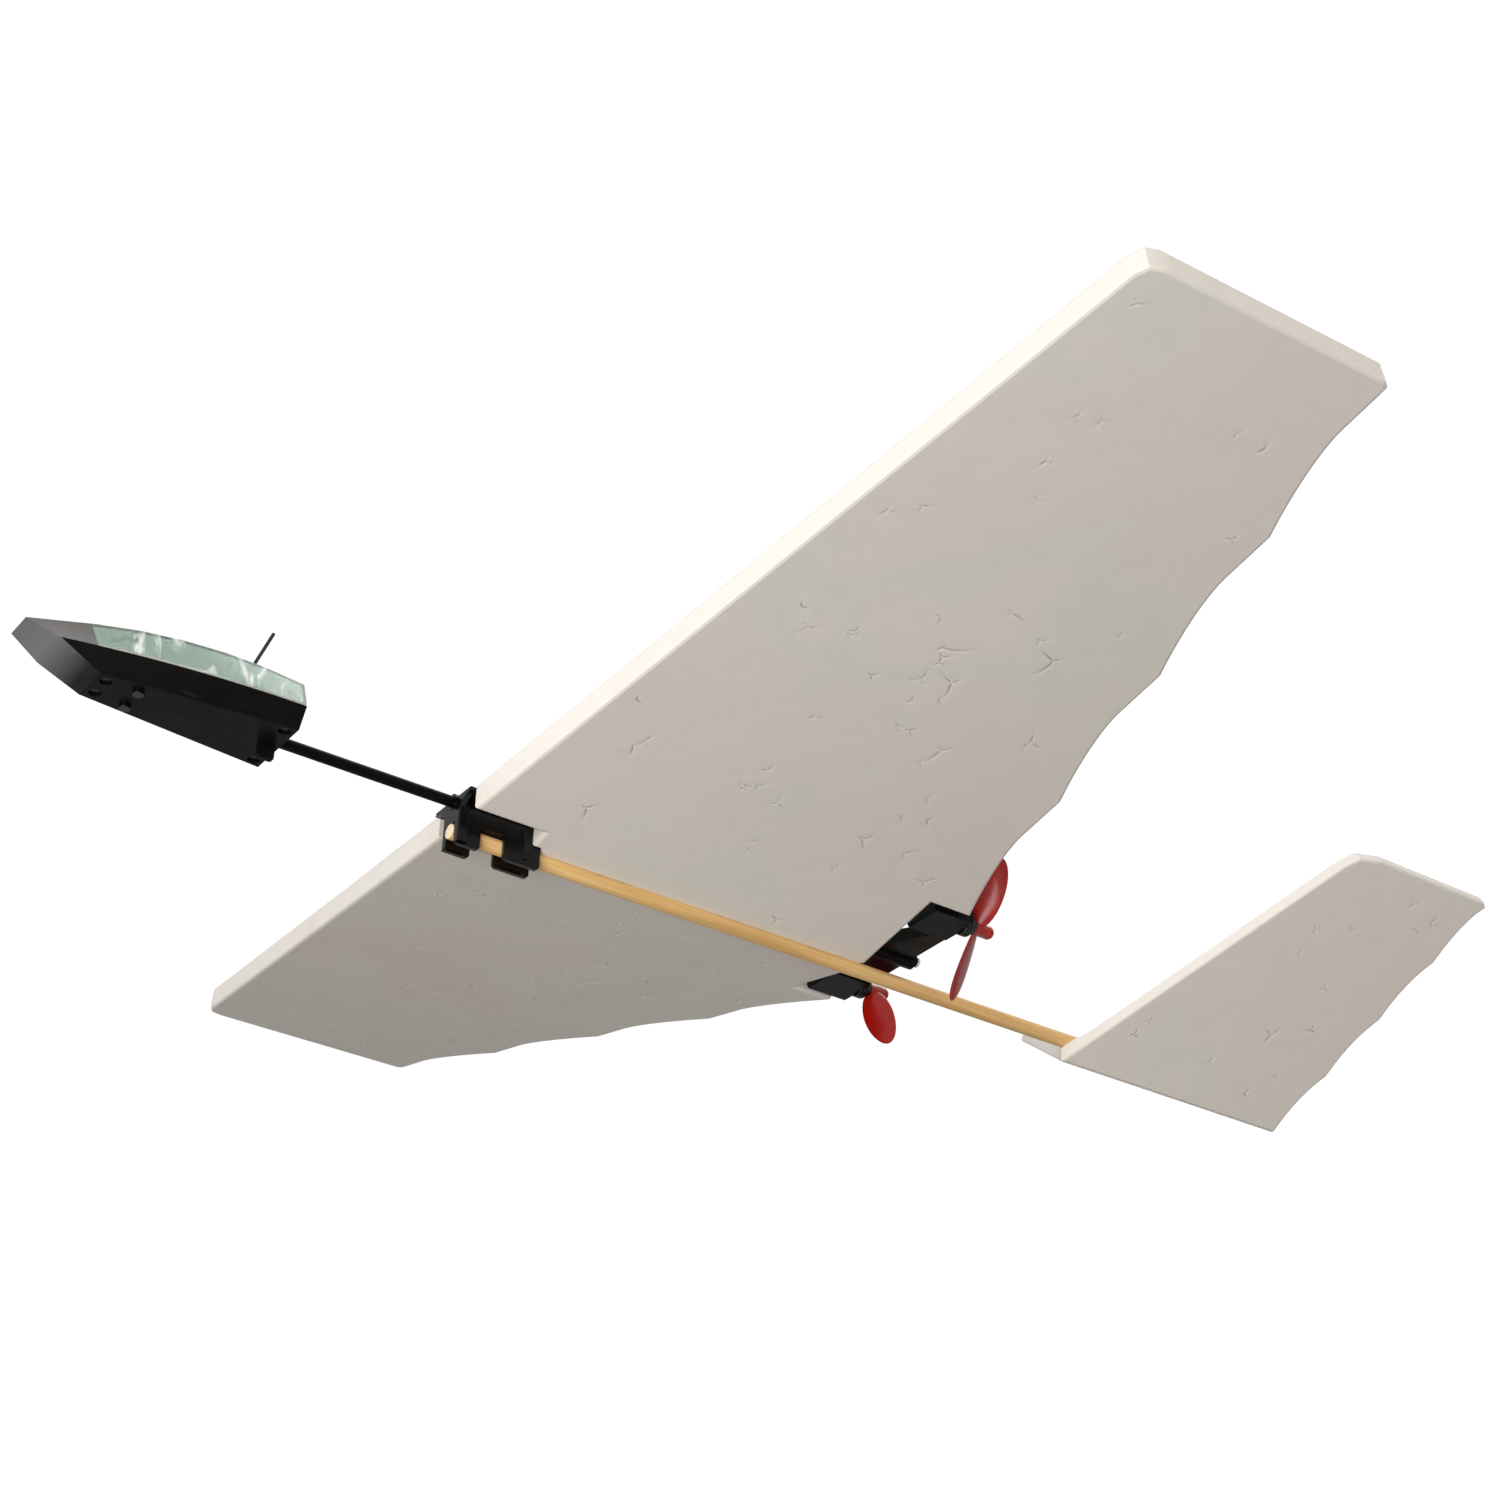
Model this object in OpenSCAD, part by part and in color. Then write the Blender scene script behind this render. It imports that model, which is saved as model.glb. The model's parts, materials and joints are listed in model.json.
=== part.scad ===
// Foam model glider with a clip-on twin-pusher electric power module.
// +X is port, +Y is aft (the nose points to -Y), +Z is up.
// Each module is drawn with the dowel's axis on Y and its front end at the
// zero point; centred() then moves it so that the origin is the centre of
// the whole aircraft's box.

/* [Wing] */
// Length of one wing panel, root to tip, measured along the foam
wing_span = 310; // [240:1:360]
// Fore-and-aft length of the wing on the centre line
wing_root_chord = 196; // [170:1:220]
// Fore-and-aft length of the wing tip
wing_tip_chord = 94.5; // [80:1:120]
// How far the tip's leading edge sits behind the root's
wing_sweep = 46.7; // [20:1:70]
// Angle of each wing panel above level
wing_dihedral = 11.6; // [4:0.5:16]
// Thickness of the wing foam
wing_t = 9.5; // [8:0.5:12]
// Height of the wing's lower surface at the centre line
wing_z = 1.2; // [0.8:0.1:2]

/* [Tail] */
// Length of one tail panel, root to tip, measured along the foam
tail_span = 121; // [90:1:140]
// Fore-and-aft length of the tail on the centre line
tail_root_chord = 108; // [90:1:120]
// Fore-and-aft length of the tail tip
tail_tip_chord = 67; // [50:1:80]
// How far the tail tip's leading edge sits behind the root's
tail_sweep = 63; // [40:1:80]
// Angle of each tail panel above level
tail_angle = 32.8; // [25:0.5:40]
// Thickness of the tail foam
tail_t = 5.2; // [4:0.2:6]
// Distance from the dowel's front end to the front of the tail
tail_y = 265; // [240:1:290]

/* [Dowel and rod] */
// Diameter of the wooden fuselage dowel
dowel_d = 5.5; // [5:0.1:6]
// Length of the wooden fuselage dowel
dowel_len = 350; // [320:1:365]
// Outer diameter of the carbon rod
rod_d = 4; // [3.6:0.1:4.4]
// Bore of the carbon rod
rod_bore = 2.6; // [2.2:0.1:3]
// Height of the carbon rod above the dowel's axis
rod_z = 11.4; // [11:0.1:12]

/* [Nose pod] */
// Distance from the pod's rear face to the dowel's front end
pod_gap = 64.6; // [50:1:80]
// Length of the pod from bow to rear face
pod_len = 92; // [85:1:100]
// Half width of the pod at the deck line, at the rear
deck_half = 19; // [17:0.5:21]
// Half width of the flat bottom at the rear
bottom_half = 14.8; // [13:0.5:16]
// Height of the pod's flat bottom above the dowel's axis
pod_bottom = 8.8; // [8.4:0.1:9]
// Wall of the pod's hull
hull_wall = 1.2; // [1:0.1:1.6]
// Wall of the clear cover
cover_wall = 0.9; // [0.7:0.1:1.2]
// Travel of the two push buttons
button_travel = 0.8; // [0.4:0.1:0.8]

/* [Motors and propellers] */
// Distance of each motor's axis from the centre line
motor_x = 31.8; // [30:0.5:36]
// Height of the motor axes above the dowel's axis
motor_z = 13.2; // [12.8:0.1:13.6]
// Diameter of a motor can
motor_d = 6; // [5.6:0.1:6.4]
// Length of a motor can
motor_len = 15; // [13:0.5:15.5]
// Diameter of a propeller, tip to tip
prop_d = 55; // [46:1:57]
// Rest angle of the port propeller, from upright towards port
port_turn = 33; // [0:1:90]
// Rest angle of the starboard propeller, from upright towards starboard
starboard_turn = 21; // [0:1:90]

/* [Hidden] */
$fn = 48;

fit = 0.05;                     // sliding or glued fit between a round part and its bore
seam = 0.05;                    // gap between two parts that meet face to face

// Wing stations
wing_front = 0.8;
scallops = 4;
scallop_level = 0.33;           // share of each scallop that runs level
scallop_points = 9;
wing_te_root = 188.5;           // trailing edge beside the rear notch
front_notch_half = 12.3;
front_notch_end = 30;
clip_slot_end = 33.2;           // narrow slot behind the notch, for the clip's legs
clip_gap = 0.1;
rear_notch_half = 42.3;
rear_notch_y = 171;
wing_te_tip = wing_front + wing_sweep + wing_tip_chord;

// Tail stations
dowel_r = dowel_d / 2;
tail_sink = 0.3;                // how deep the dowel presses into the tail foam
tail_z = -(dowel_r - tail_sink + tail_t) / cos(tail_angle);
tail_te_tip = tail_y + tail_sweep + tail_tip_chord;

// Pod stations, all along Y
pod_rear = -pod_gap;
bow_y = pod_rear - pod_len;
chin_y = bow_y + 25.7;
shoulder_y = bow_y + 11;
nose_seam_y = bow_y + 21;
seam_foot_y = bow_y + 22.5;     // foot of the leaning seam between nose and cover
seam_lean = 0.36;
deck_z = pod_bottom + 7;
bow_z = pod_bottom + 11.9;
deck_t = 0.8;
deck_hole_half = 8;             // half width of the opening in the deck
shoulder_half = 9.4;            // half widths of the pod's front corners
chin_half = 8.1;
bow_half = 5.9;
crown_half = 14.6;              // crown line of the cover, from rear to nose
crown_taper = 5.2;
crown_rear_z = pod_bottom + 17.3;
crown_slope = 10.6;
crown_bend = 15;

// Rod and clips
rod_r = rod_d / 2;
rod_front = pod_rear - 19;
rod_rear = 196;
wire_y = 188.5;
wire_r = 0.45;
carrier_front = 175.1;
carrier_rear = 192.6;
carrier_half = 39.2;
carrier_low = 9.9;
carrier_high = 16.8;
housing_in = motor_x - 8.9;     // inner side of each motor housing
bar_front = carrier_front + 1.2;
relief_in = 5;                  // the bar's front edge is cut back towards each housing
relief_depth = 10.5;
collar_wall = 1.35;
cap_r = 4.3;                    // motor end cap: a collar and a slimmer nose
cap_collar = 3.4;
cap_nose_r = 2.8;
cap_len = 5.7;
hub_front = carrier_rear + cap_len + 0.7;
hub_len = 7.5;
hub_r = 2.5;
shaft_r = 0.5;
shaft_in = 7.8;                 // how deep the shaft reaches into the motor
shaft_end = 1.6;                // and how far it stops short of the hub's end

// The whole aircraft's box, for the origin
top_z = wing_z + wing_span * sin(wing_dihedral) + wing_t * cos(wing_dihedral);
low_z = motor_z - prop_d / 2 * cos(min(port_turn, starboard_turn));
centre = [0, (bow_y + tail_te_tip) / 2, (top_z + low_z) / 2];

module centred() {
    translate(-centre) children();
}

module both_sides() {
    children();
    mirror([1, 0, 0]) children();
}

// A cylinder along Y from y0 to y1
module rod_along_y(r, y0, y1, x = 0, z = 0) {
    translate([x, y0, z]) rotate([-90, 0, 0]) cylinder(r = r, h = y1 - y0);
}

// A box given by its two corners
module block(low, high) {
    translate(low) cube(high - low);
}

// ---- Foam panels -------------------------------------------------------

// Trailing edge of the wing from the tip inwards: each scallop runs level
// and then sweeps back to the next corner
function sweep_back(u) = pow(max(0, u - scallop_level) / (1 - scallop_level), 1.45);
function wing_te(root) = [for (i = [0 : scallops - 1], j = [0 : scallop_points - 1])
    let (u = j / scallop_points, step = (wing_span - root) / scallops)
    [wing_span - (i + u) * step,
     wing_te_tip + (i + sweep_back(u)) * (wing_te_root - wing_te_tip) / scallops]];

function wing_le(s) = wing_front + wing_sweep * s / wing_span;

module wing_outline() {
    root = rear_notch_half / cos(wing_dihedral);
    offset(r = 1.2, $fn = 24) offset(delta = -1.2) polygon(concat(
        [[-8, wing_le(0)], [wing_span - 6, wing_le(wing_span - 6)],
         [wing_span - 1.5, wing_le(wing_span) + 1.5], [wing_span, wing_le(wing_span) + 6]],
        wing_te(root),
        [[root, wing_te_root], [-8, wing_te_root]]));
}

module wing_panel() {
    difference() {
        translate([0, 0, wing_z]) rotate([0, -wing_dihedral, 0])
            linear_extrude(height = wing_t) wing_outline();
        block([-40, -10, -30], [seam / 2, 240, 40]);
        block([-1, -10, -30], [front_notch_half, front_notch_end, 60]);
        block([-1, -10, -30], [leg_out + clip_gap, clip_slot_end, 60]);
        block([-1, rear_notch_y, -30], [rear_notch_half, 240, 60]);
        rod_along_y(dowel_r + fit, -5, 240);
        rod_along_y(rod_r + fit, -5, 240, 0, rod_z);
    }
}

// Trailing edge of the tail from the tip inwards: the ramps are short here
function tail_te() = [for (i = [0 : scallops - 1], j = [0 : scallop_points - 1])
    let (u = j / scallop_points, step = tail_span / scallops,
         drop = (tail_te_tip - tail_y - tail_root_chord) / scallops)
    [tail_span - (i + u) * step, tail_te_tip - (i + 1 - pow(1 - u, 2.6)) * drop]];

module tail_outline() {
    offset(r = 0.8, $fn = 24) offset(delta = -0.8) polygon(concat(
        [[-8, tail_y], [0, tail_y], [tail_span - 7.5, tail_y + tail_sweep - 3.6],
         [tail_span - 2.2, tail_y + tail_sweep + 0.8], [tail_span, tail_y + tail_sweep + 11]],
        tail_te(),
        [[0, tail_y + tail_root_chord], [-8, tail_y + tail_root_chord]]));
}

module tail_panel() {
    difference() {
        translate([0, 0, tail_z]) rotate([0, -tail_angle, 0])
            linear_extrude(height = tail_t) tail_outline();
        block([-40, 200, -30], [seam / 2, 460, 40]);
        rod_along_y(dowel_r + fit, 200, 460);
    }
}

module wing_port() {
    color("#bfb4aa") centred() wing_panel();
}

module wing_starboard() {
    color("#a89d95") centred() mirror([1, 0, 0]) wing_panel();
}

module tail_port() {
    color("#bfb4aa") centred() tail_panel();
}

module tail_starboard() {
    color("#a89d95") centred() mirror([1, 0, 0]) tail_panel();
}

module dowel() {
    color("#d9a860") centred() rod_along_y(dowel_r, 0, dowel_len);
}

// ---- Nose pod ----------------------------------------------------------

// Half widths of the pod at the deck line and along the crown, by station
function pod_t(y) = (pod_rear - y) / (pod_rear - shoulder_y);
function deck_w(y) = deck_half - (deck_half - shoulder_half) * pow(pod_t(y), 2);
function crown_w(y) = crown_half - crown_taper * pow(pod_t(y), 2);
function crown_z(y) = crown_rear_z + crown_slope * pod_t(y) - crown_bend * pow(pod_t(y), 2);

// The pod's outer form, inset by a wall where asked
module pod_form(inset = 0) {
    rear = pod_rear - inset;
    deck_ys = [for (i = [0 : 7]) rear - (rear - shoulder_y - inset) * i / 7];
    crown_ys = [for (i = [0 : 5]) rear - (rear - nose_seam_y - inset) * i / 5];
    hull() markers(concat(
        [for (y = deck_ys, s = [-1, 1]) [s * (deck_w(y) - inset), y, deck_z]],
        [for (y = crown_ys, s = [-1, 1]) [s * (crown_w(y) - inset), y, crown_z(y) - inset]],
        [for (s = [-1, 1]) [s * (bow_half - inset / 2), bow_y + 2.4 * inset, bow_z - inset / 3]],
        [for (s = [-1, 1]) [s * (chin_half - inset), chin_y + inset, pod_bottom + inset]],
        [for (s = [-1, 1]) [s * (bottom_half - inset), rear, pod_bottom + inset]]));
}

// A hair-fine marker at each point, for hull() to wrap
module markers(points) {
    for (p = points) translate(p) cube(0.02, center = true);
}

// The room taken by the nose, with a gap round it: all that lies in front of
// the leaning seam above the deck, and of the chin line below it
module nose_room(gap = 0) {
    top = 60;
    ahead = bow_y - 5;
    chin_slope = (chin_y - shoulder_y) / (deck_z - pod_bottom);
    translate([-30, 0, 0]) rotate([90, 0, 90]) linear_extrude(height = 60) offset(delta = gap)
        polygon([[ahead, 0], [shoulder_y + chin_slope * deck_z, 0], [shoulder_y, deck_z],
                 [seam_foot_y, deck_z], [seam_foot_y - seam_lean * (top - deck_z), top], [ahead, top]]);
}

screw_spots = [[4.2, chin_y + 3.7], [11.2, pod_rear - 3.4]];
post_r = 2.6;                   // screw posts inside the hull
post_h = 5.6;
well_r = 2.1;                   // screw wells in its underside
well_depth = 2.2;
head_t = 1.2;
screw_r = 0.85;
screw_len = 5.4;
screw_hole_r = 1;
hex_r = 0.7;                    // hexagon recess in each screw head
button_x = 5.2;
button_y = bow_y + 40.2;
button_r = 1.9;
button_out = 1.5;
button_flange = 0.6;            // flange that keeps a button in the hull
button_flange_t = 0.5;
stem_r = 0.8;
stem_h = 0.9;
floor_z = pod_bottom + hull_wall;
skid_y0 = pod_rear - 7.4;
skid_y1 = pod_rear - 1.4;
skid_half = 0.9;
skid_depth = 5.6;
tenon_in = 0.5;                 // the skid's tenon is shorter than the skid at each end

module pod_hull() {
    color("#141416") centred() difference() {
        union() {
            intersection() {
                difference() {
                    pod_form();
                    pod_form(hull_wall);
                }
                block([-30, bow_y - 5, 0], [30, pod_rear + 5, deck_z - seam]);
            }
            intersection() {
                pod_form();
                union() {
                    rod_along_y(rod_r + 1.6, rod_front - 1.5, pod_rear, 0, rod_z);
                    for (p = screw_spots, s = [-1, 1])
                        translate([s * p[0], p[1], pod_bottom]) cylinder(r = post_r, h = post_h);
                }
            }
        }
        nose_room(seam);
        rod_along_y(rod_r + fit, rod_front, pod_rear + 5, 0, rod_z);
        for (p = screw_spots, s = [-1, 1]) translate([s * p[0], p[1], 0]) {
            cylinder(r = well_r, h = pod_bottom + well_depth);
            cylinder(r = screw_hole_r, h = deck_z);
        }
        for (s = [-1, 1]) translate([s * button_x, button_y, 0]) cylinder(r = button_r + 0.1, h = 14);
        block([-skid_half - fit, skid_y0 + tenon_in - fit, 0],
              [skid_half + fit, skid_y1 - tenon_in + fit, rod_z - rod_r]);
    }
}

module nose_bumper() {
    color("#3c3a39") centred() intersection() {
        pod_form();
        nose_room();
    }
}

module deck_frame() {
    color("#8d8f8c") centred() difference() {
        intersection() {
            pod_form(0.3);
            block([-30, bow_y, deck_z], [30, pod_rear + 5, deck_z + deck_t]);
        }
        nose_room(seam);
        block([-deck_hole_half, nose_seam_y + 12, 0], [deck_hole_half, pod_rear - 22, 30]);
        for (p = screw_spots, s = [-1, 1])
            translate([s * p[0], p[1], 0]) cylinder(r = screw_hole_r, h = 30);
    }
}

board_t = 1;
board_y0 = nose_seam_y + 4;
board_y1 = pod_rear - 1.6;
board_z = deck_z + deck_t + seam;
board_half = 11;
board_nose_half = 8;
board_nose_len = 22;            // the board widens over this length
hole_y = board_y1 - 14;
chip_z = board_z + board_t + 0.01;
// Each chip: x and y of its corner from the board's front, then width, length, height
chips = [[-7, 25, 6, 6, 1], [3, 26, 4, 4, 1.2], [-8, 36, 4, 4, 1.6], [4, 36, 4, 7, 1]];
driver_xs = [-8, -5, 3, 6];
driver = [1.6, 3.5, 0.8];
shield = [10, 12, 2];
led = [1.6, 1.6, 0.9];
usb_x = 5;
usb_z = chip_z;
usb_half = 3.8;
usb_h = 2.6;
usb_front = pod_rear - 5.6;
usb_rear = pod_rear - 0.3;
usb_shell = 0.4;
usb_room = 0.3;                 // gap round the socket in the cover
tongue_half = 2.6;
tongue_t = 0.6;

antenna_lean = 21;
antenna_root = [0, bow_y + 72.6, deck_z + deck_t + 1.35];
antenna_len = 35.3;
antenna_r = 0.6;

module along_antenna() {
    translate(antenna_root) rotate([-antenna_lean, 0, 0]) children();
}

module clear_cover() {
    color("#cfe6d6", 0.5) centred() difference() {
        intersection() {
            difference() {
                pod_form();
                pod_form(cover_wall);
            }
            block([-30, bow_y, deck_z + deck_t + seam], [30, pod_rear + 5, 60]);
        }
        nose_room(seam);
        along_antenna() cylinder(r = antenna_r + 0.15, h = antenna_len);
        block([usb_x - usb_half - usb_room, pod_rear - 3, usb_z - usb_room],
              [usb_x + usb_half + usb_room, pod_rear + 1, usb_z + usb_h + usb_room]);
    }
}

module circuit_board() {
    color("#1f6b3a") centred() difference() {
        hull() {
            block([-board_nose_half, board_y0, board_z],
                  [board_nose_half, board_y0 + 1, board_z + board_t]);
            block([-board_half, board_y0 + board_nose_len, board_z],
                  [board_half, board_y1, board_z + board_t]);
        }
        for (s = [-1, 1]) translate([s * (board_half - 1.6), hole_y, board_z - 1]) cylinder(r = 0.8, h = 4);
    }
}

module radio_shield() {
    color("#b9bcbf") centred() translate([-shield[0] / 2, board_y0 + 8, chip_z]) cube(shield);
}

module board_chips() {
    color("#18181a") centred() {
        for (c = chips) translate([c[0], board_y0 + c[1], chip_z]) cube([c[2], c[3], c[4]]);
        for (x = driver_xs) translate([x - driver[0] / 2, hole_y, chip_z]) cube(driver);
    }
}

module status_leds() {
    color("#f4f7f2") centred()
        for (x = [-4, 4]) translate([x - led[0] / 2, board_y0 + 3, chip_z]) cube(led);
}

// A metal shell, open at the rear, with a contact tongue inside
module usb_socket() {
    color("#c6c8ca") centred() {
        difference() {
            block([usb_x - usb_half, usb_front, usb_z], [usb_x + usb_half, usb_rear, usb_z + usb_h]);
            block([usb_x - usb_half + usb_shell, usb_front + 1, usb_z + usb_shell],
                  [usb_x + usb_half - usb_shell, pod_rear + 1, usb_z + usb_h - usb_shell]);
        }
        translate([usb_x - tongue_half, usb_front + 0.8, usb_z + (usb_h - tongue_t) / 2])
            cube([2 * tongue_half, 3.2, tongue_t]);
    }
}

module antenna() {
    color("#101012") centred() along_antenna() cylinder(r = antenna_r, h = antenna_len, $fn = 24);
}

battery_y0 = button_y + 4;
battery_z = floor_z + 0.6;
battery_half = 7.6;
battery_len = 26;
battery_h = 4.6;
pad_half = 6;
pad_margin = 4;                 // the pad is this much shorter than the cell at each end

module battery() {
    color("#8a9aa8") centred()
        block([-battery_half, battery_y0, battery_z],
              [battery_half, battery_y0 + battery_len, battery_z + battery_h]);
}

module battery_pad() {
    color("#d8d8d0") centred()
        block([-pad_half, battery_y0 + pad_margin, floor_z + seam / 2],
              [pad_half, battery_y0 + battery_len - pad_margin, battery_z - seam / 2]);
}

// A round push button with a flange inside the hull and a nub on top
module push_button(side) {
    centred() translate([side * button_x, button_y, 0]) {
        translate([0, 0, pod_bottom - button_out]) cylinder(r = button_r, h = button_out + hull_wall + 0.1);
        translate([0, 0, floor_z + seam]) cylinder(r = button_r + button_flange, h = button_flange_t);
        translate([0, 0, floor_z + seam]) cylinder(r = stem_r, h = stem_h);
    }
}

module power_button() {
    color("#1c1c1e") push_button(-1);
}

module link_button() {
    color("#1c1c1e") push_button(1);
}

switch_z = floor_z + seam + stem_h + button_travel + seam;
switch_half = 1.7;
switch_h = 1.5;
switch_board = [16, 6, 0.8];

module button_switches() {
    color("#c9ccd0") centred() for (s = [-1, 1])
        block([s * button_x - switch_half, button_y - switch_half, switch_z],
              [s * button_x + switch_half, button_y + switch_half, switch_z + switch_h]);
}

module button_board() {
    color("#1f6b3a") centred()
        translate([-switch_board[0] / 2, button_y - switch_board[1] / 2, switch_z + switch_h + 0.01])
            cube(switch_board);
}

// A thin tab under the rear of the hull, with rounded lower corners
module skid_fin() {
    r = 1.2;
    low = pod_bottom - skid_depth;
    color("#1a1a1c") centred() {
        block([-skid_half, skid_y0, low + r], [skid_half, skid_y1, pod_bottom - 0.02]);
        block([-skid_half, skid_y0 + r, low], [skid_half, skid_y1 - r, low + r]);
        for (y = [skid_y0 + r, skid_y1 - r])
            translate([-skid_half, y, low + r]) rotate([0, 90, 0]) cylinder(r = r, h = 2 * skid_half);
        block([-skid_half, skid_y0 + tenon_in, low + r],
              [skid_half, skid_y1 - tenon_in, rod_z - rod_r - seam]);
    }
}

module pod_screws() {
    color("#6f7276") centred() for (p = screw_spots, s = [-1, 1])
        translate([s * p[0], p[1], pod_bottom + well_depth - head_t]) {
            difference() {
                cylinder(r = well_r - 0.2, h = head_t);
                translate([0, 0, -0.1]) cylinder(r = hex_r, h = head_t / 2, $fn = 6);
            }
            cylinder(r = screw_r, h = screw_len);
        }
}

// ---- Rod, clip and carrier ---------------------------------------------

module carbon_rod() {
    color("#161618") centred() difference() {
        rod_along_y(rod_r, rod_front + 0.2, rod_rear, 0, rod_z);
        rod_along_y(rod_bore / 2, rod_front - 1, rod_rear + 1, 0, rod_z);
        translate([-5, wire_y, rod_z]) rotate([0, 90, 0]) cylinder(r = 0.8, h = 10);
    }
}

module motor_wires() {
    color("#8c1f1a") centred() both_sides() {
        rod_along_y(wire_r, rod_front + 0.6, wire_y + wire_r, wire_r + 0.1, rod_z);
        translate([0.2, wire_y, rod_z]) rotate([0, 90, 0])
            cylinder(r = wire_r, h = motor_x - motor_d / 2 - 0.1);
    }
}

module rod_end_cap() {
    color("#f2f2ee") centred() {
        rod_along_y(rod_r - 0.1, rod_rear + 0.02, rod_rear + 1.2, 0, rod_z);
        rod_along_y(rod_bore / 2 - fit, rod_rear - 3, rod_rear + 0.1, 0, rod_z);
    }
}

leg_in = dowel_r + fit;
leg_out = leg_in + 1.4;
clip_front = 0.5;
clip_rear = 31.4;
front_leg_end = 9.9;
rear_leg_start = 19.1;
rear_leg_end = 33.1;
ridge_y = 27.4;                 // slanting ridge on each rear leg
ridge_lean = 8;
ridge_r = 0.8;
leg_foot_z = -6;
ear_tip = 12;
flange_t = 1.3;
curl_t = 2;

// One leg of the fork: a plate in the YZ plane with rounded lower corners
module fork_leg(y0, y1, r = 1.5) {
    block([leg_in, y0, leg_foot_z + r], [leg_out, y1, 5]);
    block([leg_in, y0 + r, leg_foot_z], [leg_out, y1 - r, 5]);
    for (y = [y0 + r, y1 - r])
        translate([leg_in, y, leg_foot_z + r]) rotate([0, 90, 0]) cylinder(r = r, h = leg_out - leg_in);
}

// A raised rib down the front edge of a leg
module leg_pillar(y0, y1, out = 1.3, r = 0.6) {
    low = leg_foot_z + 0.8;
    block([leg_out - 0.1, y0, low], [leg_out + out - r, y1, rod_z]);
    block([leg_out - 0.1, y0 + r, low], [leg_out + out, y1 - r, rod_z]);
    for (y = [y0 + r, y1 - r]) translate([leg_out + out - r, y, low]) cylinder(r = r, h = rod_z - low);
}

// One of the clip's flanges inside the wing's notch, with a wider ear at its front
module ear_plan() {
    offset(r = 0.5, $fn = 24) offset(delta = -0.5)
        polygon([[2, 0.6], [ear_tip, 0.6], [ear_tip, 3.6], [ear_tip - 4, 8],
                 [ear_tip - 4, front_notch_end - 0.4], [2, front_notch_end - 0.4]]);
}

// The front leg's curl out into the ear, a quarter-round hollow beneath it
module ear_curl() {
    reach = ear_tip - leg_out;
    under = wing_top + seam;
    translate([0, clip_front + curl_t, 0]) rotate([90, 0, 0]) linear_extrude(height = curl_t)
        polygon(concat([[leg_out - 0.5, under - reach]],
            [for (a = [180 : -9 : 90]) [ear_tip + reach * cos(a), under - reach + reach * sin(a)]],
            [[ear_tip - 0.4, under + 0.4], [leg_out - 0.5, under + 0.4]]));
}

// Height of the wing's upper surface on the centre line
wing_top = wing_z + wing_t / cos(wing_dihedral);

module front_clip() {
    color("#111113") centred() difference() {
        union() {
            rod_along_y(rod_r + 0.9, 0.2, clip_rear, 0, rod_z);
            block([-leg_out, clip_front, dowel_r + 0.02], [leg_out, clip_rear, rod_z]);
            both_sides() {
                fork_leg(clip_front, front_leg_end);
                fork_leg(rear_leg_start, rear_leg_end);
                leg_pillar(clip_front, clip_front + 4.1);
                ear_curl();
                translate([leg_out, ridge_y, leg_foot_z + 2.4]) rotate([ridge_lean, 0, 0])
                    cylinder(r = ridge_r, h = 11);
                translate([0, 0, wing_top + seam]) linear_extrude(height = flange_t) ear_plan();
            }
        }
        rod_along_y(rod_r + fit, -5, 60, 0, rod_z);
        rod_along_y(dowel_r + fit, -5, 60);
    }
}

// The carrier's outer form: a bar with a motor housing at each end and a
// collar round the rod in the middle
module carrier_form() {
    both_sides() {
        yz_plate(housing_in, carrier_half, carrier_front, carrier_low, carrier_high);
        difference() {
            yz_plate(-0.01, housing_in + 0.1, bar_front, carrier_low + 0.5, carrier_high - 1.4);
            linear_extrude(height = 60)
                polygon([[relief_in, bar_front], [housing_in, bar_front + relief_depth],
                         [housing_in, carrier_front - 5], [relief_in, carrier_front - 5]]);
        }
    }
    rod_along_y(rod_r + collar_wall, carrier_front - 0.6, carrier_rear + 1.9, 0, rod_z);
}

// A plate of constant cross-section along X, with its front lower and
// upper edges chamfered
module yz_plate(x0, x1, y0, z0, z1, bevel = 0.9) {
    translate([x0, 0, 0]) rotate([90, 0, 90]) linear_extrude(height = x1 - x0)
        polygon([[y0 + bevel, z0], [carrier_rear, z0], [carrier_rear, z1],
                 [y0 + bevel, z1], [y0, z1 - bevel], [y0, z0 + bevel]]);
}

module carrier_bores() {
    rod_along_y(rod_r + fit, 100, 240, 0, rod_z);
    for (s = [-1, 1])
        rod_along_y(motor_d / 2 + fit, carrier_rear - motor_len - 0.1, 240, s * motor_x, motor_z);
    block([-motor_x, wire_y - 0.8, rod_z - 0.7], [motor_x, wire_y + 0.8, rod_z + 0.7]);
}

module carrier_lower() {
    color("#1b1b1d") centred() difference() {
        carrier_form();
        carrier_bores();
        block([-60, 100, motor_z], [60, 240, 40]);
    }
}

module carrier_upper() {
    color("#1b1b1d") centred() difference() {
        carrier_form();
        carrier_bores();
        block([-60, 100, -20], [60, 240, motor_z + seam]);
    }
}

module at_motor(side) {
    centred() translate([side * motor_x, 0, motor_z]) children();
}

module motor_can() {
    difference() {
        rod_along_y(motor_d / 2, carrier_rear - motor_len, carrier_rear);
        rod_along_y(shaft_r + fit, carrier_rear - shaft_in - 0.2, carrier_rear + 1);
    }
}

module motor_cap() {
    difference() {
        union() {
            rod_along_y(cap_r, carrier_rear + 0.02, carrier_rear + cap_collar);
            rod_along_y(cap_nose_r, carrier_rear + 0.02, carrier_rear + cap_len);
        }
        rod_along_y(shaft_r + fit, carrier_rear - 1, carrier_rear + 10);
    }
}

module prop_shaft() {
    rod_along_y(shaft_r, carrier_rear - shaft_in, hub_front + hub_len - shaft_end);
}

module motor_port() {
    color("#c4c6c8") at_motor(1) motor_can();
}

module motor_starboard() {
    color("#c4c6c8") at_motor(-1) motor_can();
}

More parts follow.
